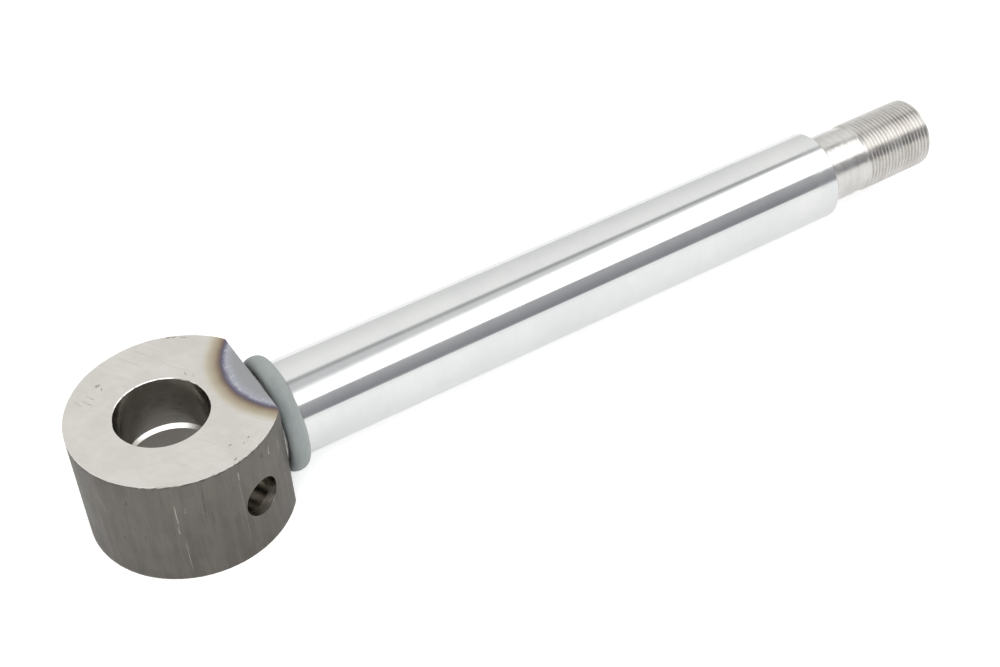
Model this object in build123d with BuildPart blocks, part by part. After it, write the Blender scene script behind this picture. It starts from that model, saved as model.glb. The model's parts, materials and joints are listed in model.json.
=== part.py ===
from build123d import *
from math import cos, radians, sin
import os

# Piston rod of a hydraulic cylinder with an eye friction-welded to one end.
# Millimetres. The origin is the centre of the eye's pin bore at mid height,
# +Z runs along the pin bore and +X along the rod, away from the eye.

# Eye: a slice of round bar, bored off its centre and milled flat for the rod
eye_diameter = 78.0
eye_height = 48.5
eye_centre_x = 4.0
bore_diameter = 35.1
weld_face_x = 35.8
eye_edge_break = 0.3
bore_edge_break = 0.5

# Grease groove: a vee turned round the bore at mid height
groove_depth = 1.4

# Cross hole: drilled from the bar's side, square to its surface, into the bore
cross_hole_diameter = 15.5
cross_hole_angle = -66.5

# Rod: hard-chromed bar, bare where it is welded, with a turned, threaded end
# that carries the piston
rod_diameter = 38.1
bare_diameter = 37.6
bare_length = 10.6
shoulder_x = 300.0
shoulder_chamfer = 1.5
neck_diameter = 29.6
neck_length = 14.2
root_fillet = 0.8
relief_diameter = 29.0
relief_length = 5.4
thread_diameter = 30.2
thread_length = 35.1
thread_chamfer = 1.6
centre_diameter = 8.0
centre_pilot_diameter = 3.15
centre_depth = 7.5

# Weld flash: a rounded curl that stands off the milled face on a short root
curl_stand_off = 2.0
curl_length = 8.1
curl_crest_radius = 23.4
curl_side_radius = 20.8
root_height = 1.5

# Worked out from the above
eye_radius = eye_diameter / 2
half_height = eye_height / 2
bore_radius = bore_diameter / 2
rod_radius = rod_diameter / 2
bare_radius = bare_diameter / 2
chrome_start_x = weld_face_x + bare_length
thread_radius = thread_diameter / 2
neck_end_x = shoulder_x + neck_length
thread_start_x = neck_end_x + relief_length
end_x = thread_start_x + thread_length
curl_start_x = weld_face_x + curl_stand_off
curl_end_x = curl_start_x + curl_length
root_radius = bare_radius + root_height

os.makedirs("parts", exist_ok=True)

# ---------------------------------------------------------------- rod eye
with BuildPart() as rod_eye:
    with BuildSketch(Plane.XY.offset(-half_height)):
        with Locations((eye_centre_x, 0)):
            Circle(eye_radius)
        with Locations((weld_face_x, 0)):
            Rectangle(eye_radius, eye_diameter, align=(Align.MIN, Align.CENTER), mode=Mode.SUBTRACT)
    extrude(amount=eye_height)
    chamfer(rod_eye.edges().filter_by(GeomType.CIRCLE), length=eye_edge_break)

    # The bore, its broken edges and the vee groove are one turned cut
    with BuildSketch(Plane.XZ):
        with BuildLine():
            Polyline(
                (0, -half_height),
                (bore_radius + bore_edge_break, -half_height),
                (bore_radius, -half_height + bore_edge_break),
                (bore_radius, -groove_depth),
                (bore_radius + groove_depth, 0),
                (bore_radius, groove_depth),
                (bore_radius, half_height - bore_edge_break),
                (bore_radius + bore_edge_break, half_height),
                (0, half_height),
                close=True,
            )
        make_face()
    revolve(axis=Axis.Z, mode=Mode.SUBTRACT)

    # The cross hole starts inside the pin bore and leaves through the round side
    cross_direction = (cos(radians(cross_hole_angle)), sin(radians(cross_hole_angle)), 0)
    with BuildSketch(Plane(origin=(eye_centre_x, 0, 0), z_dir=cross_direction)):
        Circle(cross_hole_diameter / 2)
    extrude(amount=eye_diameter, mode=Mode.SUBTRACT)

# -------------------------------------------------------------- piston rod
with BuildPart() as piston_rod:
    with BuildSketch(Plane.XZ) as rod_section:
        with BuildLine():
            Polyline(
                (weld_face_x, 0),
                (weld_face_x, bare_radius),
                (chrome_start_x, bare_radius),
                (chrome_start_x, rod_radius),
                (shoulder_x - shoulder_chamfer, rod_radius),
                (shoulder_x, rod_radius - shoulder_chamfer),
                (shoulder_x, neck_diameter / 2),
                (neck_end_x, neck_diameter / 2),
                (neck_end_x, relief_diameter / 2),
                (thread_start_x, relief_diameter / 2),
                (thread_start_x + (thread_diameter - relief_diameter) / 2, thread_radius),
                (end_x - thread_chamfer, thread_radius),
                (end_x, thread_radius - thread_chamfer),
                (end_x, centre_diameter / 2),
                (end_x - (centre_diameter - centre_pilot_diameter), centre_pilot_diameter / 2),
                (end_x - centre_depth, centre_pilot_diameter / 2),
                (end_x - centre_depth, 0),
                close=True,
            )
        make_face()
        # A small radius relieves the root of the shoulder
        neck_root = rod_section.vertices().sort_by_distance((shoulder_x, neck_diameter / 2))[0]
        fillet(neck_root, radius=root_fillet)
    revolve(axis=Axis.X)

# -------------------------------------------------------------- weld flash
with BuildPart() as weld_flash:
    with BuildSketch(Plane.XZ):
        with BuildLine():
            ThreePointArc(
                (curl_start_x, curl_side_radius),
                ((curl_start_x + curl_end_x) / 2, curl_crest_radius),
                (curl_end_x, curl_side_radius),
            )
            Polyline(
                (curl_end_x, curl_side_radius),
                (curl_end_x, bare_radius),
                (weld_face_x, bare_radius),
                (weld_face_x, root_radius),
                (curl_start_x, root_radius),
                (curl_start_x, curl_side_radius),
            )
        make_face()
    revolve(axis=Axis.X)

rod_eye.part.label = "rod_eye"
piston_rod.part.label = "piston_rod"
weld_flash.part.label = "weld_flash"

export_step(rod_eye.part, "parts/rod_eye.step")
export_step(piston_rod.part, "parts/piston_rod.step")
export_step(weld_flash.part, "parts/weld_flash.step")
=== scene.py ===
import json
from math import cos, pi, radians, sin, sqrt

import bmesh
import bpy
import numpy as np
from mathutils import Matrix, Vector


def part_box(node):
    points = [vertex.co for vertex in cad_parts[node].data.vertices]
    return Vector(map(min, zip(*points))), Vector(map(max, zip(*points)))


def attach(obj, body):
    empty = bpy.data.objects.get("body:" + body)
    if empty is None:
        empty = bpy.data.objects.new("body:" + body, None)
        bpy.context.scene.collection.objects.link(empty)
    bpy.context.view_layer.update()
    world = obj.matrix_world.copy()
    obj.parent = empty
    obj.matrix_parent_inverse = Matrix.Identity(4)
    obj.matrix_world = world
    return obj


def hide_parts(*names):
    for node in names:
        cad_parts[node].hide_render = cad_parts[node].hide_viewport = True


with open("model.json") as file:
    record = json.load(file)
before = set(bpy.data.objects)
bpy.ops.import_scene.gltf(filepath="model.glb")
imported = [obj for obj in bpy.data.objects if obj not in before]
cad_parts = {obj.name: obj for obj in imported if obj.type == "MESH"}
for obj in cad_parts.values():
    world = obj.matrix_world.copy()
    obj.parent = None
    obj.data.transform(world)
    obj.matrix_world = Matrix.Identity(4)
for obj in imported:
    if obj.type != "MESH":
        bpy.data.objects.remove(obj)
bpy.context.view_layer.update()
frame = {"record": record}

# Piston rod of a hydraulic cylinder: a hard-chromed bar friction-welded to an
# eye sawn from round bar. Metres, with the origin at the centre of the eye's
# pin bore, +Z along the bore and +X along the rod.

MM = 0.001
mounts = {mount["name"]: mount for mount in frame["record"]["mounts"]}
eye_low, eye_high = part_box("rod_eye")
rod_low, rod_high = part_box("piston_rod")
curl_low, curl_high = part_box("weld_flash")

# Eye
eye_radius = eye_high.y
eye_centre_x = eye_low.x + eye_radius
weld_face_x = eye_high.x
half_height = eye_high.z
bore_radius = mounts["eye_bore"]["dims"]["r_mm"] * MM
hole_radius = mounts["cross_hole"]["dims"]["r_mm"] * MM
hole_angle = radians(-66.5)
bore_edge_break = 0.28 * MM
saw_burr = 0.3 * MM
groove_depth = 1.4 * MM

# How finely the eye is divided round its section and its outline
wall_steps = 10
groove_steps = 3
face_steps = 14
side_steps = 24
flat_steps = 60
round_steps = 420

# Rod
rod_radius = rod_high.z
bare_radius = 18.8 * MM
chrome_start_x = 46.4 * MM
shoulder_x = mounts["piston_shoulder"]["pos_m"][0]
shoulder_chamfer = 1.5 * MM
neck_radius = 14.8 * MM
neck_end_x = 314.2 * MM
root_fillet = 0.8 * MM
relief_radius = 14.5 * MM
relief_step = 0.2 * MM
thread_start_x = 319.6 * MM
thread_radius = mounts["thread"]["dims"]["r_mm"] * MM
thread_pitch = 25.4 * MM / 14
thread_depth = 0.6134 * thread_pitch
thread_chamfer = 1.6 * MM
end_x = rod_high.x
centre_radius = 4.0 * MM
centre_pilot_radius = 1.575 * MM
centre_depth = 7.5 * MM
centre_point = 0.9 * MM

# Weld flash
curl_radius = curl_high.z
curl_start_x = 37.8 * MM
curl_end_x = curl_high.x
curl_thickness = 5.75 * MM
curl_wander = 0.10 * MM
curl_inset = 0.12 * MM


# ---------------------------------------------------------------- surfaces


def ripple(turn, slowest, quickest, seed):
    """A value from about -1 to 1 that meets itself after a full turn: the sum of
    whole-number waves from the slowest to the quickest, each with a phase of its own."""
    chance = np.random.default_rng(seed)
    waves = np.arange(slowest, quickest + 1)
    phases = chance.uniform(0, 2 * pi, waves.size)
    heights = chance.normal(0, 1, waves.size)
    total = np.sin(np.multiply.outer(turn, waves) + phases) @ heights
    spread = 1.6
    return total / (spread * sqrt(waves.size))


def quads(rows, columns):
    """The four corners of every square of a grid of points, row by row."""
    number = np.arange(rows * columns).reshape(rows, columns)
    corners = (number[:-1, :-1], number[:-1, 1:], number[1:, 1:], number[1:, :-1])
    return np.stack(corners, axis=-1).reshape(-1, 4)


def smooth_piece(name, points, materials, finish, sharp_angle=30):
    """Makes a piece from a grid of points of shape (rows, columns, 3), whose first and
    last columns lie on each other. finish gives each square's material, of shape
    (rows - 1, columns - 1). Points that meet are merged, which closes seams and poles."""
    rows, columns = points.shape[:2]
    mesh = bpy.data.meshes.new(name)
    mesh.from_pydata(points.reshape(-1, 3).tolist(), [], quads(rows, columns).tolist())
    for material in materials:
        mesh.materials.append(material)
    mesh.polygons.foreach_set("material_index", finish.astype(np.int32).ravel())
    shell = bmesh.new()
    shell.from_mesh(mesh)
    bmesh.ops.remove_doubles(shell, verts=shell.verts, dist=1e-6)
    bmesh.ops.recalc_face_normals(shell, faces=shell.faces)
    shell.to_mesh(mesh)
    shell.free()
    shade(mesh, sharp_angle)
    piece = bpy.data.objects.new(name, mesh)
    bpy.context.scene.collection.objects.link(piece)
    return piece


def shade(mesh, sharp_angle):
    """Smooth shading, with a crease at every edge that turns by more than the angle."""
    mesh.polygons.foreach_set("use_smooth", np.ones(len(mesh.polygons), bool))
    mesh.set_sharp_from_angle(angle=radians(sharp_angle))
    mesh.update()


def line(start, end, steps):
    """Points from start to end in equal steps, each a row of the same values."""
    return np.linspace(np.array(start, float), np.array(end, float), steps + 1)


def path(*stretches):
    """Stretches joined end to end, without the point that each pair shares."""
    return np.concatenate([stretches[0]] + [stretch[1:] for stretch in stretches[1:]])


# ---------------------------------------------------------------- eye


def eye_outline(angle):
    """Distance from the bore's centre to the outline in the direction of angle: the
    nearer of the round bar, whose centre is off the bore's, and the milled flat."""
    reach = eye_centre_x * np.cos(angle)
    round_bar = reach + np.sqrt(eye_radius**2 - (eye_centre_x * np.sin(angle)) ** 2)
    facing = np.maximum(np.cos(angle), 1e-6)
    return np.minimum(round_bar, weld_face_x / facing)


def eye_section():
    """Rows of (share, inner radius, inset, height) once round the eye's section, up the
    bore, out over the top, down the side and back underneath. A point of a row lies
    that share of the way from the inner radius to the outline less the inset."""
    rim = bore_radius + bore_edge_break
    low, high = -half_height, half_height
    bore_top = high - bore_edge_break
    groove_radius = bore_radius + groove_depth
    up_bore = path(
        line((0, bore_radius, 0, -bore_top), (0, bore_radius, 0, -groove_depth), wall_steps),
        line((0, bore_radius, 0, -groove_depth), (0, groove_radius, 0, 0), groove_steps),
        line((0, groove_radius, 0, 0), (0, bore_radius, 0, groove_depth), groove_steps),
        line((0, bore_radius, 0, groove_depth), (0, bore_radius, 0, bore_top), wall_steps),
    )
    over_top = line((0, rim, 0, high), (1, rim, saw_burr, high), face_steps)
    down_side = line((1, rim, 0, high - saw_burr), (1, rim, 0, low + saw_burr), side_steps)
    under = line((1, rim, saw_burr, low), (0, rim, 0, low), face_steps)
    return np.concatenate([up_bore, over_top, down_side, under, up_bore[:1]])


def eye_points(section, angle):
    """Carries the section round the bore. The sawn rims are ragged: there the inset
    changes along the rim by a ripple, always inwards from the true outline."""
    share, inner, inset, height = (column[:, None] for column in section.T)
    turn = angle[None, :]
    ragged = 0.5 + 0.35 * ripple(angle, 20, 140, 3) + 0.3 * ripple(angle, 3, 11, 4)
    outline = eye_outline(turn) - inset * np.clip(ragged, 0.05, 1.0)[None, :]
    distance = (1 - share) * inner + share * outline
    flat = np.broadcast_to(height, distance.shape)
    return np.stack([distance * np.cos(turn), distance * np.sin(turn), flat], axis=-1)


def eye_angles():
    """Directions round the bore, closer together on the round side, with one exactly at
    each corner where the flat meets it."""
    corner_y = sqrt(eye_radius**2 - (weld_face_x - eye_centre_x) ** 2)
    corner = np.arctan2(corner_y, weld_face_x)
    return path(line(-corner, corner, flat_steps), line(corner, 2 * pi - corner, round_steps))


def cross_hole_cutter(material):
    """The drill's path: a round bar from inside the bore out past the eye's side, closed
    flat at each end. A point lies so far along the hole's axis from the middle of the
    round bar, and one radius from the axis in the direction of angle."""
    squares_round = 96
    angle = np.linspace(0, 2 * pi, squares_round + 1)[None, :]
    along = MM * np.array([10, 10, 26, 32, 38, 46, 46])[:, None]
    radius = hole_radius * np.array([0, 1, 1, 1, 1, 1, 0])[:, None]
    sideways = radius * np.cos(angle)
    upwards = radius * np.sin(angle)
    x = eye_centre_x + along * cos(hole_angle) - sideways * sin(hole_angle)
    y = along * sin(hole_angle) + sideways * cos(hole_angle)
    points = np.stack([x, y, upwards + 0 * along], axis=-1)
    finish = np.zeros((len(along) - 1, squares_round))
    return smooth_piece("drill_path", points, [material], finish)


def make_eye(milled, scaled, flat, bored, drilled):
    """The eye: a D-shaped ring closed both ways, with the cross hole drilled into it."""
    section = eye_section()
    angle = eye_angles()
    points = eye_points(section, angle)
    on_face, on_side, on_flat, in_bore = range(4)
    bore_end = 2 * wall_steps + 2 * groove_steps + 1
    side_start = bore_end + face_steps + 1
    side = slice(side_start, side_start + side_steps)
    finish = np.full((len(section) - 1, len(angle) - 1), on_face)
    finish[:bore_end] = in_bore
    finish[side, :flat_steps] = on_flat
    finish[side, flat_steps:] = on_side
    finish[-1] = in_bore
    eye = smooth_piece("eye_finished", points, [milled, scaled, flat, bored, drilled], finish)
    cutter = cross_hole_cutter(drilled)
    cut = eye.modifiers.new("cross hole", "BOOLEAN")
    cut.object = cutter
    cut.solver = "EXACT"
    cut.material_mode = "TRANSFER"
    bpy.context.view_layer.update()
    evaluated = eye.evaluated_get(bpy.context.evaluated_depsgraph_get())
    drilled_eye = bpy.data.meshes.new_from_object(evaluated)
    eye.modifiers.clear()
    eye.data = drilled_eye
    bpy.data.objects.remove(cutter)
    shade(drilled_eye, 30)
    return eye


# ---------------------------------------------------------------- rod


def thread_form(turns):
    """How deep the groove is, as a share of its full depth, after so many pitches: a
    crest an eighth of a pitch wide, 60 degree flanks, and a root a sixth wide."""
    crest = 1 / 8
    root = 1 / 6
    flank = (1 - crest - root) / 2
    place = turns % 1.0
    rise = np.clip((place - crest) / flank, 0, 1)
    fall = np.clip((1.0 - place) / flank, 0, 1)
    return np.minimum(rise, fall)


def thread_rows():
    """Running lengths along the thread, in pitches from its start: the same few places
    in every pitch, at the ends and middles of the crest, the flanks and the root."""
    places = np.array([0, 0.0625, 0.125, 0.21, 0.30, 0.39, 0.479, 0.53, 0.60, 0.646, 0.73, 0.82, 0.91])
    pitches = int(np.ceil((end_x - thread_start_x) / thread_pitch)) + 1
    return (np.arange(-1, pitches)[:, None] + places[None, :]).ravel()


def threaded_stretch(angle):
    """Length and radius over the thread. Each row follows the helix, its length growing
    by one pitch a turn and held between the two ends. The radius is the smaller of
    the turned blank and the blank less the groove, which fades in at the start."""
    running = thread_rows()[:, None]
    x = thread_start_x + thread_pitch * (running + angle[None, :] / (2 * pi))
    x = np.clip(x, thread_start_x, end_x)
    blank = np.minimum(thread_radius, relief_radius + (x - thread_start_x))
    blank = np.minimum(blank, thread_radius - thread_chamfer + (end_x - x))
    fade = np.clip((x - thread_start_x) / thread_pitch, 0, 1)
    groove = thread_radius - thread_depth * fade * thread_form(running)
    return x, np.minimum(blank, groove)


def rod_profile():
    """Rows of (length, radius) of the turned bar from the weld to the thread's start."""
    fillet_turn = line(0.0, pi / 2, 6)
    fillet_x = shoulder_x + root_fillet * (1 - np.cos(fillet_turn))
    fillet_r = neck_radius + root_fillet * (1 - np.sin(fillet_turn))
    fillet = np.stack([fillet_x, fillet_r], axis=-1)
    chamfer_x = shoulder_x - shoulder_chamfer
    chamfer_radius = rod_radius - shoulder_chamfer
    relief_start_x = neck_end_x + relief_step
    return path(
        line((weld_face_x, 0), (weld_face_x, bare_radius), 1),
        line((weld_face_x, bare_radius), (chrome_start_x, bare_radius), 2),
        line((chrome_start_x, bare_radius), (chrome_start_x, rod_radius), 1),
        line((chrome_start_x, rod_radius), (chamfer_x, rod_radius), 60),
        line((chamfer_x, rod_radius), (shoulder_x, chamfer_radius), 2),
        line((shoulder_x, chamfer_radius), (shoulder_x, neck_radius + root_fillet), 3),
        fillet,
        line(fillet[-1], (neck_end_x, neck_radius), 8),
        line((neck_end_x, neck_radius), (relief_start_x, relief_radius), 1),
        line((relief_start_x, relief_radius), (thread_start_x, relief_radius), 4),
    )


def end_profile():
    """Rows of (length, radius) over the rod's end and down into its centre hole."""
    cone_depth = (centre_radius - centre_pilot_radius) / np.tan(radians(30))
    pilot_end = end_x - centre_depth
    return path(
        line((end_x, thread_radius - thread_chamfer), (end_x, centre_radius), 3),
        line((end_x, centre_radius), (end_x - cone_depth, centre_pilot_radius), 3),
        line((end_x - cone_depth, centre_pilot_radius), (pilot_end, centre_pilot_radius), 2),
        line((pilot_end, centre_pilot_radius), (pilot_end - centre_point, 0), 1),
    )


def make_rod(chrome, turned):
    """The rod: a profile turned about X, whose threaded rows follow a right-hand helix."""
    angle = np.linspace(0, 2 * pi, 145)
    blank, end = rod_profile(), end_profile()
    thread_x, thread_r = threaded_stretch(angle)
    even = np.ones_like(angle)
    x = np.concatenate([np.outer(blank[:, 0], even), thread_x, np.outer(end[:, 0], even)])
    radius = np.concatenate([np.outer(blank[:, 1], even), thread_r, np.outer(end[:, 1], even)])
    points = np.stack([x, radius * np.cos(angle), radius * np.sin(angle)], axis=-1)
    hair = 0.0001 * MM
    chromed = (x[:-1, :-1] >= chrome_start_x - hair) & (radius[1:, 1:] > rod_radius - hair)
    return smooth_piece("rod_threaded", points, [chrome, turned], np.where(chromed, 0, 1))


# ---------------------------------------------------------------- flash


def make_flash(grey):
    """The curl of weld flash: an oval section carried round the rod, a little thicker
    and thinner and further to one side or the other by turns."""
    turn = np.linspace(0, 2 * pi, 193)[None, :]
    along = np.linspace(0, 2 * pi, 49)[:, None]
    half_width = (curl_end_x - curl_start_x) / 2
    middle_x = (curl_end_x + curl_start_x) / 2
    lean = curl_wander * ripple(turn[0], 1, 4, 11)[None, :]
    swell = 1 - 0.02 * (1 + ripple(turn[0], 2, 9, 12))[None, :]
    middle_radius = curl_radius - curl_thickness / 2
    x = middle_x + lean + (half_width - curl_inset) * swell * np.cos(along)
    rounding = np.sign(np.sin(along)) * np.abs(np.sin(along)) ** 0.9
    radius = middle_radius + curl_thickness / 2 * swell * rounding
    curl = np.stack([x, radius * np.cos(turn), radius * np.sin(turn)], axis=-1)
    finish = np.zeros((curl.shape[0] - 1, curl.shape[1] - 1))
    return smooth_piece("flash_curl", curl, [grey], finish, 60)


# ---------------------------------------------------------------- node recipes


class Recipe:
    """A node tree written step by step: each step adds one node and gives its output."""

    def __init__(self, tree):
        self.tree = tree

    def node(self, kind, inputs, **settings):
        made = self.tree.nodes.new(kind)
        for name, value in settings.items():
            setattr(made, name, value)
        for name, value in inputs.items():
            if isinstance(value, bpy.types.NodeSocket):
                self.tree.links.new(value, made.inputs[name])
            else:
                made.inputs[name].default_value = value
        return made

    def maths(self, operation, *values):
        return self.node("ShaderNodeMath", dict(enumerate(values)), operation=operation).outputs[0]

    def vector(self, operation, first, second):
        inputs = {0: first, 1: second}
        return self.node("ShaderNodeVectorMath", inputs, operation=operation).outputs[0]

    def length(self, vector):
        made = self.node("ShaderNodeVectorMath", {0: vector}, operation="LENGTH")
        return made.outputs["Value"]

    def split(self, vector):
        return self.node("ShaderNodeSeparateXYZ", {0: vector}).outputs

    def join(self, x, y, z=0.0):
        return self.node("ShaderNodeCombineXYZ", {0: x, 1: y, 2: z}).outputs[0]

    def step(self, value, low, high, below=0.0, above=1.0):
        inputs = {"Value": value, "From Min": low, "From Max": high, "To Min": below, "To Max": above}
        made = self.node("ShaderNodeMapRange", inputs, interpolation_type="SMOOTHSTEP")
        return made.outputs[0]

    def noise(self, vector, scale, detail=3.0, roughness=0.55):
        inputs = {"Vector": vector, "Scale": scale, "Detail": detail, "Roughness": roughness}
        return self.node("ShaderNodeTexNoise", inputs).outputs["Fac"]

    def mix(self, share, first, second):
        inputs = {0: share, 6: first, 7: second}
        return self.node("ShaderNodeMix", inputs, data_type="RGBA").outputs[2]

    def group(self, tree, **inputs):
        named = {name.replace("_", " "): value for name, value in inputs.items()}
        made = self.tree.nodes.new("ShaderNodeGroup")
        made.node_tree = tree
        for name, value in named.items():
            if isinstance(value, bpy.types.NodeSocket):
                self.tree.links.new(value, made.inputs[name])
            else:
                made.inputs[name].default_value = value
        return made.outputs[0]


def tint(red, green, blue):
    """A colour from its screen values of 0 to 255, in the linear values that nodes use."""
    screen = np.array([red, green, blue]) / 255
    linear = np.where(screen <= 0.04045, screen / 12.92, ((screen + 0.055) / 1.055) ** 2.4)
    return (*linear.tolist(), 1.0)


def new_group(name, inputs):
    """A shader node group with one value for its output, and float or vector inputs that
    are given with their first values."""
    tree = bpy.data.node_groups.new(name, "ShaderNodeTree")
    for label, value in inputs.items():
        kind = "NodeSocketVector" if isinstance(value, tuple) else "NodeSocketFloat"
        socket = tree.interface.new_socket(name=label, in_out="INPUT", socket_type=kind)
        socket.default_value = value
    tree.interface.new_socket(name="Value", in_out="OUTPUT", socket_type="NodeSocketFloat")
    recipe = Recipe(tree)
    given = tree.nodes.new("NodeGroupInput").outputs
    result = tree.nodes.new("NodeGroupOutput").inputs
    return recipe, given, result, tree


def mottle_group():
    """Mottle: cloudy change between two values, from broad patches with finer ones in them."""
    inputs = {"Place": (0, 0, 0), "Scale": 100.0, "Low": 0.0, "High": 1.0}
    recipe, given, result, tree = new_group("mottle", inputs)
    broad = recipe.noise(given["Place"], given["Scale"], 2.0)
    fine = recipe.noise(given["Place"], recipe.maths("MULTIPLY", given["Scale"], 5.3), 3.0)
    both = recipe.maths("ADD", recipe.maths("MULTIPLY", broad, 0.65), recipe.maths("MULTIPLY", fine, 0.35))
    recipe.tree.links.new(recipe.step(both, 0.36, 0.64, given["Low"], given["High"]), result[0])
    return tree


def tool_marks_group():
    """Tool marks: fine straight lines, each as long as Run and about Spacing apart, that
    lie at Angle to the first axis. 0 between the marks and 1 on them."""
    inputs = {"Place": (0, 0, 0), "Angle": 0.0, "Spacing": 0.5 * MM, "Run": 20 * MM, "Cover": 0.5}
    recipe, given, result, tree = new_group("tool marks", inputs)
    turned = recipe.node(
        "ShaderNodeVectorRotate",
        {"Vector": given["Place"], "Angle": recipe.maths("MULTIPLY", given["Angle"], -1.0)},
        rotation_type="Z_AXIS",
    ).outputs[0]
    along, across, through = recipe.split(turned)
    stretched = recipe.join(
        recipe.maths("DIVIDE", along, given["Run"]),
        recipe.maths("DIVIDE", across, given["Spacing"]),
        recipe.maths("DIVIDE", through, given["Run"]),
    )
    lines = recipe.noise(stretched, 1.0, 3.0, 0.6)
    edge = recipe.maths("SUBTRACT", 0.72, recipe.maths("MULTIPLY", given["Cover"], 0.35))
    marks = recipe.step(lines, recipe.maths("SUBTRACT", edge, 0.08), recipe.maths("ADD", edge, 0.08))
    recipe.tree.links.new(marks, result[0])
    return tree


def nick_group():
    """Nick: one scratch or dent of Length and Width centred on Spot and turned by Angle,
    1 on it and 0 off it, with a wandering line and ragged ends."""
    inputs = {
        "Place": (0, 0, 0), "Spot": (0, 0, 0), "Angle": 0.0, "Length": 5 * MM, "Width": 0.3 * MM,
        "Wander": 0.2 * MM,
    }
    recipe, given, result, tree = new_group("nick", inputs)
    shifted = recipe.vector("SUBTRACT", given["Place"], given["Spot"])
    turned = recipe.node(
        "ShaderNodeVectorRotate",
        {"Vector": shifted, "Angle": recipe.maths("MULTIPLY", given["Angle"], -1.0)},
        rotation_type="Z_AXIS",
    ).outputs[0]
    along, across, _ = recipe.split(turned)
    uneven = recipe.noise(given["Place"], 260.0, 3.0, 0.7)
    sway = recipe.maths("MULTIPLY", recipe.maths("SUBTRACT", uneven, 0.5), given["Wander"])
    off_line = recipe.maths("ABSOLUTE", recipe.maths("ADD", across, recipe.maths("MULTIPLY", sway, 4.0)))
    off_end = recipe.maths("ABSOLUTE", along)
    half_width = recipe.maths("MULTIPLY", given["Width"], 0.5)
    half_length = recipe.maths("MULTIPLY", given["Length"], 0.5)
    beside = recipe.step(off_line, half_width, recipe.maths("MULTIPLY", half_width, 0.3))
    within = recipe.step(off_end, half_length, recipe.maths("MULTIPLY", half_length, 0.5))
    broken = recipe.step(recipe.noise(given["Place"], 900.0, 2.0), 0.30, 0.52)
    whole = recipe.maths("MULTIPLY", recipe.maths("MULTIPLY", beside, within), broken)
    recipe.tree.links.new(whole, result[0])
    return tree


def edge_band_group():
    """Edge band: 1 at Edge and 0 further than about Width from it, with a ragged border."""
    inputs = {"Place": (0, 0, 0), "Height": 0.0, "Edge": 0.0, "Width": 0.5 * MM, "Grain": 900.0}
    recipe, given, result, tree = new_group("edge band", inputs)
    gap = recipe.maths("ABSOLUTE", recipe.maths("SUBTRACT", given["Height"], given["Edge"]))
    uneven = recipe.step(recipe.noise(given["Place"], given["Grain"], 3.0, 0.6), 0.3, 0.75, 0.1, 1.6)
    reach = recipe.maths("MULTIPLY", given["Width"], uneven)
    near_edge = recipe.step(gap, reach, recipe.maths("MULTIPLY", reach, 0.4))
    recipe.tree.links.new(near_edge, result[0])
    return tree


MOTTLE = mottle_group()
TOOL_MARKS = tool_marks_group()
NICK = nick_group()
EDGE_BAND = edge_band_group()


# ---------------------------------------------------------------- finishes


def new_finish(name):
    """An empty material with its shader, and the object's own coordinates in metres."""
    material = bpy.data.materials.new(name)
    material.use_nodes = True
    tree = material.node_tree
    shader = tree.nodes["Principled BSDF"]
    place = tree.nodes.new("ShaderNodeTexCoord").outputs["Object"]
    return material, Recipe(tree), shader, place


def finish_off(recipe, shader, colour, roughness, metallic, height=None, relief=0.05 * MM):
    """Feeds the shader. height is 0 to 1, and relief is how far 1 stands above 0."""
    for name, value in (("Base Color", colour), ("Roughness", roughness), ("Metallic", metallic)):
        if isinstance(value, bpy.types.NodeSocket):
            recipe.tree.links.new(value, shader.inputs[name])
        else:
            shader.inputs[name].default_value = value
    if height is not None:
        bump = recipe.node("ShaderNodeBump", {"Height": height, "Strength": 1.0, "Distance": relief})
        recipe.tree.links.new(bump.outputs[0], shader.inputs["Normal"])


def round_side(recipe, place, centre_x, radius):
    """Flattens a wall round a vertical axis: (distance round it, height, 0), and the height."""
    x, y, z = recipe.split(place)
    angle = recipe.maths("ARCTAN2", y, recipe.maths("SUBTRACT", x, centre_x))
    return recipe.join(recipe.maths("MULTIPLY", angle, radius), z), z


def nicks(recipe, place, *marks):
    """Several nicks in one mask. Each mark is (spot, angle in degrees, length, width, wander)."""
    total = 0.0
    for spot, angle, length, width, wander in marks:
        one = recipe.group(
            NICK, Place=place, Spot=tuple(value * MM for value in (*spot, 0)), Angle=radians(angle),
            Length=length * MM, Width=width * MM, Wander=wander * MM,
        )
        total = recipe.maths("MAXIMUM", total, one)
    return total


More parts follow.
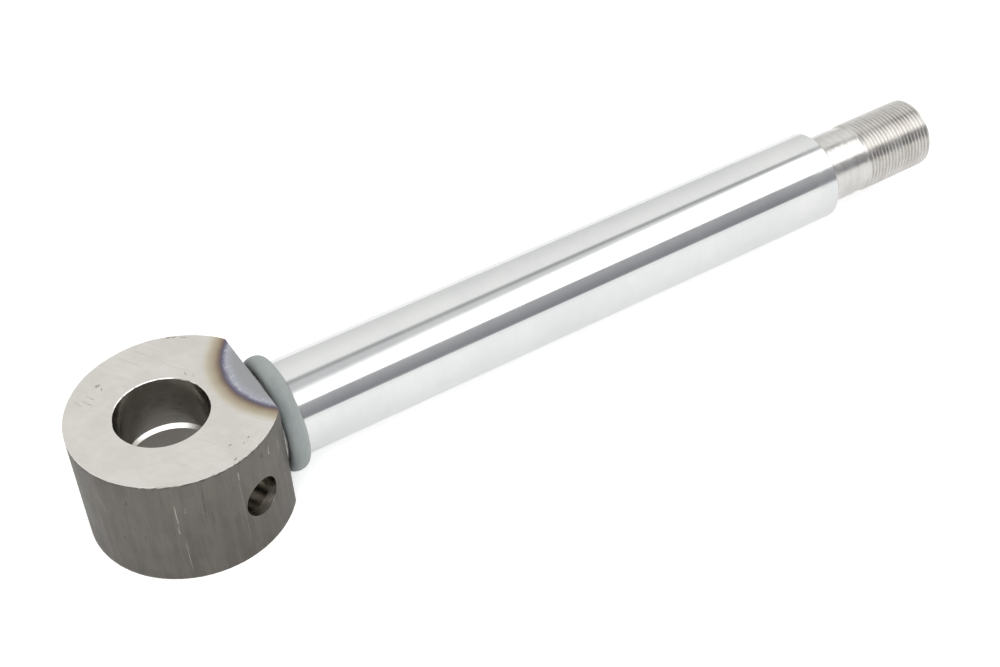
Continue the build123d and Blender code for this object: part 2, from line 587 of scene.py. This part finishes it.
def milled_steel():
    """Sawn and linished ends of the eye: light grey with slanting marks, and the colours
    that the weld's heat drew round the flat."""
    material, recipe, shader, place = new_finish("milled_end_steel")
    x, y, _ = recipe.split(place)
    cloud = recipe.group(MOTTLE, Place=place, Scale=60.0, Low=0.0, High=1.0)
    marks = recipe.group(
        TOOL_MARKS, Place=place, Angle=radians(-60), Spacing=0.45 * MM, Run=9 * MM, Cover=0.5,
    )
    strong = recipe.group(
        TOOL_MARKS, Place=place, Angle=radians(-57), Spacing=1.1 * MM, Run=16 * MM, Cover=0.28,
    )
    patches = recipe.group(MOTTLE, Place=place, Scale=28.0, Low=0.05, High=1.0)
    colour = recipe.mix(cloud, tint(220, 216, 210), tint(229, 226, 221))
    faint = recipe.maths("MULTIPLY", marks, recipe.maths("MULTIPLY", patches, 0.22))
    clear = recipe.maths("MULTIPLY", strong, recipe.maths("MULTIPLY", patches, 0.20))
    colour = recipe.mix(faint, colour, tint(200, 195, 189))
    colour = recipe.mix(clear, colour, tint(186, 181, 176))

    # Heat colours follow arcs about a point beyond the flat, and change with the distance
    # in millimetres from the arc where the blue line lies
    heat_centre = (57.1 * MM, -0.4 * MM, 0)
    heat_radius = 31.0 * MM
    first_band, last_band = -12.0, 8.0
    from_centre = recipe.vector("SUBTRACT", recipe.join(x, y), heat_centre)
    distance = recipe.length(from_centre)
    waver = recipe.maths("SUBTRACT", recipe.noise(place, 120.0, 2.0), 0.5)
    away = recipe.maths("SUBTRACT", distance, heat_radius)
    away = recipe.maths("ADD", away, recipe.maths("MULTIPLY", waver, 1.6 * MM))
    limits = {"Value": away, "From Min": first_band * MM, "From Max": last_band * MM}
    bands = recipe.node("ShaderNodeMapRange", limits)
    ramp = recipe.node("ShaderNodeValToRGB", {"Fac": bands.outputs[0]})
    stops = (
        (-12.0, (166, 166, 168)), (-5.0, (170, 171, 174)), (-2.2, (182, 184, 194)), (-1.1, (134, 131, 150)),
        (-0.2, (112, 104, 116)), (0.8, (142, 126, 112)), (2.2, (178, 165, 144)), (4.8, (206, 198, 180)),
        (8.0, (225, 221, 215)),
    )
    span = last_band - first_band
    fill_ramp(ramp.color_ramp, [((value - first_band) / span, shown) for value, shown in stops])
    heated = recipe.step(away, 8 * MM, 4 * MM)
    colour = recipe.mix(heated, colour, ramp.outputs["Color"])
    scale_flecks = recipe.step(recipe.noise(place, 1100.0, 4.0, 0.7), 0.52, 0.62)
    outwards = recipe.step(away, -5.5 * MM, -1.8 * MM)
    inwards = recipe.step(away, -0.6 * MM, -1.4 * MM)
    near_border = recipe.maths("MULTIPLY", outwards, inwards)
    flecks = recipe.maths("MULTIPLY", scale_flecks, near_border)
    colour = recipe.mix(recipe.maths("MULTIPLY", flecks, 0.55), colour, tint(226, 228, 236))

    dents = nicks(
        recipe, place,
        ((-14.0, 25.9), 8, 2.6, 1.5, 0.5), ((-13.6, 23.6), 60, 2.2, 0.5, 0.4),
        ((-18.5, 21.5), -68, 5.0, 0.45, 0.3), ((-20.6, 19.5), -65, 6.0, 0.35, 0.3),
        ((-23.5, 21.0), -75, 5.0, 0.3, 0.3), ((19.2, 35.1), -25, 4.6, 1.5, 0.5),
        ((23.0, 32.4), -35, 2.5, 0.6, 0.3), ((13.4, -29.2), 5, 1.6, 0.7, 0.5),
        ((18.0, -31.0), 60, 1.4, 0.6, 0.4), ((20.5, -29.3), 30, 1.5, 0.6, 0.4),
        ((12.2, -36.6), 20, 2.0, 0.8, 0.4), ((15.6, 13.6), 100, 3.0, 0.35, 0.6),
        ((17.6, 11.0), 70, 2.4, 0.3, 0.6),
    )
    colour = recipe.mix(recipe.maths("MULTIPLY", dents, 0.6), colour, tint(96, 92, 88))
    roughness = recipe.maths("ADD", 0.34, recipe.maths("MULTIPLY", cloud, 0.08))
    roughness = recipe.maths("ADD", roughness, recipe.maths("MULTIPLY", heated, 0.08))
    height = recipe.maths("SUBTRACT", recipe.maths("MULTIPLY", marks, 0.25), dents)
    height = recipe.maths("ADD", height, recipe.maths("MULTIPLY", flecks, 0.5))
    finish_off(recipe, shader, colour, roughness, 1.0, height, 0.04 * MM)
    return material


def fill_ramp(ramp, stops):
    """Gives a colour ramp its stops, each a place from 0 to 1 and a screen colour."""
    while len(ramp.elements) < len(stops):
        ramp.elements.new(0.5)
    for element, (place, colour) in zip(ramp.elements, stops):
        element.position = place
        element.color = tint(*colour)


def scaled_steel():
    """The bar's own skin round the eye: dark mill scale drawn out in upright streaks, with a painted
    highlight along the top edge and painted shade along the foot.
    """
    material, recipe, shader, place = new_finish("mill_scale_side")
    side, z = round_side(recipe, place, eye_centre_x, eye_radius)
    upright = radians(90)
    cloud = recipe.group(MOTTLE, Place=side, Scale=70.0, Low=0.0, High=1.0)
    broad = recipe.group(
        TOOL_MARKS, Place=side, Angle=upright, Spacing=3.2 * MM, Run=40 * MM, Cover=0.62,
    )
    fine = recipe.group(
        TOOL_MARKS, Place=side, Angle=upright, Spacing=0.5 * MM, Run=14 * MM, Cover=0.5,
    )
    patches = recipe.group(MOTTLE, Place=side, Scale=26.0, Low=0.0, High=1.0)
    colour = recipe.mix(cloud, tint(99, 95, 90), tint(109, 105, 99))
    colour = recipe.mix(recipe.maths("MULTIPLY", patches, 0.5), colour, tint(122, 118, 111))
    colour = recipe.mix(recipe.maths("MULTIPLY", broad, 0.22), colour, tint(134, 130, 124))
    colour = recipe.mix(recipe.maths("MULTIPLY", fine, 0.14), colour, tint(84, 80, 76))

    # Marks are placed by their degrees round the eye, times the millimetres in a degree
    arc = eye_radius / MM * pi / 180
    bright = nicks(
        recipe, side,
        ((-115 * arc, 9.0), 90, 13.0, 0.55, 0.15), ((-115.5 * arc, 1.5), 92, 4.0, 0.5, 0.2),
        ((-113.5 * arc, -12.0), 90, 20.0, 0.22, 0.15), ((-79 * arc, 17.5), 90, 4.5, 0.5, 0.2),
        ((-79.5 * arc, 1.0), 90, 42.0, 0.14, 0.1), ((-110 * arc, 11.0), 88, 3.0, 0.3, 0.2),
        ((-56 * arc, 17.0), 86, 5.0, 0.7, 0.4), ((-46 * arc, 14.0), 90, 6.0, 0.5, 0.4),
    )
    dark = nicks(
        recipe, side,
        ((-100 * arc, 12.0), 88, 22.0, 0.5, 0.3), ((-97 * arc, 4.0), 90, 8.0, 0.4, 0.3),
        ((-140 * arc, 14.5), 80, 2.5, 0.9, 0.4), ((-134 * arc, -2.5), 85, 3.0, 0.6, 0.4),
        ((-147 * arc, -4.5), 90, 3.5, 0.7, 0.3), ((-62 * arc, 18.5), 85, 3.0, 1.8, 0.5),
        ((-57 * arc, -6.0), 88, 12.0, 0.6, 0.4),
    )
    colour = recipe.mix(recipe.maths("MULTIPLY", dark, 0.6), colour, tint(58, 55, 52))
    colour = recipe.mix(recipe.maths("MULTIPLY", bright, 0.7), colour, tint(190, 186, 178))

    # A darker ragged band just below the top edge
    dark_band_below_rim = recipe.group(
        EDGE_BAND, Place=side, Height=z, Edge=half_height, Width=1.5 * MM, Grain=330.0,
    )
    colour = recipe.mix(recipe.maths("MULTIPLY", dark_band_below_rim, 0.45), colour, tint(62, 58, 55))
    # Painted highlight: a near-white ragged line along the top edge, where the light catches it
    rim = recipe.group(
        EDGE_BAND, Place=place, Height=z, Edge=half_height, Width=0.7 * MM, Grain=520.0,
    )
    # Painted shade: a dark ragged line along the foot, where the eye stands on the table
    painted_foot_shade = recipe.group(
        EDGE_BAND, Place=place, Height=z, Edge=-half_height, Width=0.7 * MM, Grain=500.0,
    )
    # Painted highlight on the top edge
    colour = recipe.mix(recipe.maths("MULTIPLY", rim, 0.75), colour, tint(205, 201, 196))
    # Painted shade on the foot
    colour = recipe.mix(recipe.maths("MULTIPLY", painted_foot_shade, 0.4), colour, tint(60, 57, 54))
    roughness = recipe.step(cloud, 0.0, 1.0, 0.42, 0.55)
    height = recipe.maths("ADD", recipe.maths("MULTIPLY", fine, 0.5), recipe.maths("MULTIPLY", cloud, 0.8))
    height = recipe.maths("SUBTRACT", height, dark)
    finish_off(recipe, shader, colour, roughness, 0.75, height, 0.05 * MM)
    return material


def heated_flat():
    """The milled flat round the weld, darkened by its heat."""
    material, recipe, shader, place = new_finish("weld_flat_steel")
    _, y, z = recipe.split(place)
    away = recipe.length(recipe.vector("MULTIPLY", place, (0.0, 1.0, 1.0)))
    cloud = recipe.group(MOTTLE, Place=place, Scale=90.0, Low=0.0, High=1.0)
    marks = recipe.group(
        TOOL_MARKS, Place=recipe.join(y, z), Angle=radians(4), Spacing=0.6 * MM, Run=20 * MM,
        Cover=0.5,
    )
    colour = recipe.mix(cloud, tint(112, 112, 122), tint(140, 138, 142))
    straw = recipe.step(away, 27 * MM, 33 * MM)
    colour = recipe.mix(straw, colour, tint(150, 134, 112))
    colour = recipe.mix(recipe.maths("MULTIPLY", marks, 0.4), colour, tint(92, 90, 94))
    finish_off(recipe, shader, colour, 0.45, 0.85, marks, 0.02 * MM)
    return material


def bored_steel():
    """The bored wall: fine rings from the tool, a painted highlight in the groove and a painted highlight
    along the broken edge at the top.
    """
    material, recipe, shader, place = new_finish("bored_steel")
    wall, z = round_side(recipe, place, 0.0, bore_radius)
    cloud = recipe.group(MOTTLE, Place=wall, Scale=45.0, Low=0.0, High=1.0)
    rings = recipe.group(
        TOOL_MARKS, Place=wall, Angle=0.0, Spacing=0.22 * MM, Run=40 * MM, Cover=0.5,
    )
    colour = recipe.mix(cloud, tint(158, 154, 148), tint(170, 166, 160))
    colour = recipe.mix(recipe.maths("MULTIPLY", rings, 0.2), colour, tint(140, 136, 130))
    # Painted highlight: the groove is painted near white, where the light catches it
    groove = recipe.step(recipe.maths("ABSOLUTE", z), groove_depth * 1.05, groove_depth * 0.95)
    colour = recipe.mix(groove, colour, tint(236, 234, 230))
    # Painted highlight: a near-white ragged band along the top edge of the bore
    edge = recipe.group(
        EDGE_BAND, Place=place, Height=z, Edge=half_height, Width=0.45 * MM, Grain=500.0,
    )
    colour = recipe.mix(edge, colour, tint(236, 234, 230))
    roughness = recipe.step(cloud, 0.0, 1.0, 0.13, 0.20)
    finish_off(recipe, shader, colour, roughness, 1.0, rings, 0.004 * MM)
    return material


def drilled_steel():
    """The drilled wall of the cross hole, with a few coarse rings near the mouth, painted bright on the
    lower half as a painted highlight.
    """
    material, recipe, shader, place = new_finish("drilled_steel")
    _, _, z = recipe.split(place)
    out = recipe.node(
        "ShaderNodeVectorMath",
        {0: place, 1: (cos(hole_angle), sin(hole_angle), 0)},
        operation="DOT_PRODUCT",
    ).outputs["Value"]
    depth = recipe.maths("SUBTRACT", out, eye_centre_x * cos(hole_angle))
    rings = recipe.maths("SINE", recipe.maths("MULTIPLY", depth, 2 * pi / (0.75 * MM)))
    rings = recipe.step(rings, -0.2, 0.9)
    cloud = recipe.group(MOTTLE, Place=place, Scale=60.0, Low=0.0, High=1.0)
    colour = recipe.mix(cloud, tint(172, 167, 159), tint(188, 184, 176))
    # The rings near the mouth are real bumps, and on the lower half they are also painted bright as a
    # painted highlight
    near_mouth = recipe.step(depth, 34.0 * MM, 35.5 * MM)
    highlight_half = recipe.step(z, 0.0, -2.5 * MM)
    rings = recipe.maths("MULTIPLY", rings, recipe.maths("MULTIPLY", near_mouth, highlight_half))
    colour = recipe.mix(recipe.maths("MULTIPLY", rings, 0.6), colour, tint(240, 236, 226))
    roughness = recipe.step(cloud, 0.0, 1.0, 0.16, 0.24)
    finish_off(recipe, shader, colour, roughness, 1.0, rings, 0.04 * MM)
    return material


def chromed_steel():
    """Hard chrome, ground and polished, dulled by fine marks beside the shoulder."""
    material, recipe, shader, place = new_finish("hard_chrome")
    x, y, z = recipe.split(place)
    around = recipe.maths("MULTIPLY", recipe.maths("ARCTAN2", z, y), rod_radius)
    wall = recipe.join(x, around)
    cloud = recipe.group(MOTTLE, Place=place, Scale=30.0, Low=0.0, High=1.0)
    polish = recipe.group(
        TOOL_MARKS, Place=wall, Angle=radians(90), Spacing=0.35 * MM, Run=24 * MM, Cover=0.4,
    )
    colour = recipe.mix(cloud, tint(228, 229, 229), tint(233, 234, 233))
    colour = recipe.mix(recipe.maths("MULTIPLY", polish, 0.10), colour, tint(200, 201, 202))
    rubbed = recipe.step(x, shoulder_x - 14 * MM, shoulder_x - 9 * MM)
    drawn_round = recipe.vector("MULTIPLY", wall, (1.0, 0.35, 1.0))
    grain = recipe.step(recipe.noise(drawn_round, 1500.0, 3.0, 0.7), 0.40, 0.62)
    grain = recipe.maths("MULTIPLY", grain, rubbed)
    colour = recipe.mix(recipe.maths("MULTIPLY", grain, 0.08), colour, tint(180, 180, 178))
    roughness = recipe.maths("ADD", 0.085, recipe.maths("MULTIPLY", cloud, 0.03))
    roughness = recipe.maths("ADD", roughness, recipe.maths("MULTIPLY", rubbed, 0.06))
    height = recipe.maths("ADD", recipe.maths("MULTIPLY", polish, 0.12), grain)
    finish_off(recipe, shader, colour, roughness, 1.0, height, 0.006 * MM)
    return material


def turned_steel():
    """Turned steel of the shoulder, the neck and the thread, with the tool's fine rings."""
    material, recipe, shader, place = new_finish("turned_steel")
    x, y, z = recipe.split(place)
    around = recipe.maths("MULTIPLY", recipe.maths("ARCTAN2", z, y), neck_radius)
    wall = recipe.join(x, around)
    cloud = recipe.group(MOTTLE, Place=place, Scale=90.0, Low=0.0, High=1.0)
    rings = recipe.group(
        TOOL_MARKS, Place=wall, Angle=radians(90), Spacing=0.28 * MM, Run=60 * MM, Cover=0.5,
    )
    colour = recipe.mix(cloud, tint(214, 211, 207), tint(226, 224, 221))
    colour = recipe.mix(recipe.maths("MULTIPLY", rings, 0.25), colour, tint(176, 173, 169))
    roughness = recipe.step(cloud, 0.0, 1.0, 0.17, 0.25)
    finish_off(recipe, shader, colour, roughness, 1.0, rings, 0.01 * MM)
    return material


def flash_steel():
    """The flash: dull blue-grey oxide, smooth, with faint flow lines round the curl."""
    material, recipe, shader, place = new_finish("flash_oxide")
    x, y, z = recipe.split(place)
    around = recipe.maths("MULTIPLY", recipe.maths("ARCTAN2", z, y), curl_radius)
    cloud = recipe.group(MOTTLE, Place=place, Scale=75.0, Low=0.0, High=1.0)
    flow = recipe.group(
        TOOL_MARKS, Place=recipe.join(x, around), Angle=radians(90), Spacing=1.4 * MM,
        Run=30 * MM, Cover=0.6,
    )
    colour = recipe.mix(cloud, tint(152, 159, 157), tint(162, 169, 167))
    colour = recipe.mix(recipe.maths("MULTIPLY", flow, 0.2), colour, tint(140, 147, 145))
    height = recipe.maths("ADD", recipe.maths("MULTIPLY", cloud, 0.6), recipe.maths("MULTIPLY", flow, 0.4))
    roughness = recipe.step(cloud, 0.0, 1.0, 0.52, 0.64)
    finish_off(recipe, shader, colour, roughness, 0.0, height, 0.05 * MM)
    return material


# ---------------------------------------------------------------- studio


def studio_light():
    """The light round the object: a long soft light overhead, a grey gap behind it, a pale
    room beyond and a darker one in front, all running along the rod. The strength is
    worked out from a direction's height angle about the rod and its lean along it."""
    world = bpy.data.worlds.new("studio")
    world.use_nodes = True
    bpy.context.scene.world = world
    tree = world.node_tree
    tree.nodes.clear()
    recipe = Recipe(tree)
    direction = tree.nodes.new("ShaderNodeTexCoord").outputs["Generated"]
    x, y, z = recipe.split(direction)
    height = recipe.maths("ARCTAN2", z, recipe.maths("MULTIPLY", y, -1.0))
    height = recipe.maths("MULTIPLY", height, 180 / pi)
    limits = {"Value": x, "From Min": 0.24, "From Max": 0.54}
    lean = recipe.node("ShaderNodeMapRange", limits).outputs[0]

    white = (1.0, 1.0, 1.0, 1)
    glow = (1.9, 1.9, 1.9, 1)
    gap_grey = (0.42, 0.425, 0.43, 1)
    room = recipe.mix(recipe.step(height, 112, 180), (0.96, 0.96, 0.95, 1), (0.76, 0.765, 0.76, 1))
    near_gap = recipe.mix(lean, (0.62, 0.63, 0.64, 1), (0.85, 0.85, 0.85, 1))
    dark = recipe.mix(recipe.step(height, 8.0, 38.0), (0.27, 0.275, 0.295, 1), (0.42, 0.425, 0.44, 1))

    # Edges of the bands, in degrees of height, which move as the direction leans
    light_foot = recipe.maths("ADD", 40.0, recipe.maths("MULTIPLY", lean, 4.0))
    light_top = recipe.maths("ADD", 66.0, recipe.maths("MULTIPLY", lean, 30.0))
    soft_top = recipe.maths("SUBTRACT", 12.0, recipe.maths("MULTIPLY", lean, 9.0))
    gap_middle = recipe.maths("ADD", 97.0, recipe.maths("MULTIPLY", lean, 7.0))
    off_gap = recipe.maths("ABSOLUTE", recipe.maths("SUBTRACT", height, gap_middle))
    gap = recipe.step(off_gap, 8.0, 1.0)
    foot_low = recipe.maths("SUBTRACT", light_foot, 1.5)
    foot_high = recipe.maths("ADD", light_foot, 1.5)
    over_foot = recipe.step(height, foot_low, foot_high)
    top_low = recipe.maths("SUBTRACT", light_top, soft_top)
    top_high = recipe.maths("ADD", light_top, soft_top)
    past_light = recipe.step(height, top_low, top_high)
    above_table = recipe.step(height, 6.0, 7.2)

    behind = recipe.mix(recipe.step(height, 95.0, 108.0), near_gap, room)
    colour = recipe.mix(past_light, glow, behind)
    colour = recipe.mix(gap, colour, gap_grey)
    colour = recipe.mix(over_foot, dark, colour)
    colour = recipe.mix(above_table, white, colour)
    seen = tree.nodes.new("ShaderNodeLightPath").outputs["Is Camera Ray"]
    colour = recipe.mix(seen, colour, white)
    backdrop = recipe.node("ShaderNodeBackground", {"Color": colour, "Strength": 1.0})
    output = tree.nodes.new("ShaderNodeOutputWorld")
    tree.links.new(backdrop.outputs[0], output.inputs[0])


def studio_floor():
    """A plain white table, far wider than the object, lit a little from within, and more
    so where the camera sees it."""
    reach = 6.0
    mesh = bpy.data.meshes.new("white_table")
    corners = [(-reach, -reach), (reach, -reach), (reach, reach), (-reach, reach)]
    mesh.from_pydata([(x, y, eye_low.z) for x, y in corners], [], [(0, 1, 2, 3)])
    table = bpy.data.objects.new("white_table", mesh)
    bpy.context.scene.collection.objects.link(table)
    material, recipe, shader, _ = new_finish("white_table")
    shader.inputs["Base Color"].default_value = (0.8, 0.8, 0.8, 1)
    shader.inputs["Roughness"].default_value = 0.9
    shader.inputs["Specular IOR Level"].default_value = 0.0
    shader.inputs["Emission Color"].default_value = (1, 1, 1, 1)
    seen = recipe.tree.nodes.new("ShaderNodeLightPath").outputs["Is Camera Ray"]
    recipe.tree.links.new(recipe.step(seen, 0.0, 1.0, 0.25, 0.55), shader.inputs["Emission Strength"])
    mesh.materials.append(material)


def studio_camera():
    """The camera looks down on the eye's corner of the object, with the rod going away."""
    place = Vector((-0.10880, -0.44246, 0.44459))
    aim = Vector((0.13503, -0.01018, 0.0))
    roll = radians(3.65)
    lens = bpy.data.cameras.new("camera")
    lens.lens = 61.2
    lens.sensor_width = 36.0
    lens.clip_start = 0.01
    camera = bpy.data.objects.new("camera", lens)
    bpy.context.scene.collection.objects.link(camera)
    forward = (aim - place).normalized()
    level = forward.to_track_quat("-Z", "Y").to_matrix()
    turned = level @ Matrix.Rotation(-roll, 3, "Z")
    camera.matrix_world = Matrix.Translation(place) @ turned.to_4x4()
    bpy.context.scene.camera = camera


# ---------------------------------------------------------------- the object

eye = make_eye(milled_steel(), scaled_steel(), heated_flat(), bored_steel(), drilled_steel())
rod = make_rod(chromed_steel(), turned_steel())
flash = make_flash(flash_steel())

for piece, node, slot in (
    (eye, "rod_eye", "eye_steel"),
    (rod, "piston_rod", "rod_chrome"),
    (flash, "weld_flash", "flash_steel"),
):
    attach(piece, "root")
    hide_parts(node)

studio_light()
studio_floor()
studio_camera()
bpy.context.scene.view_settings.view_transform = "Standard"
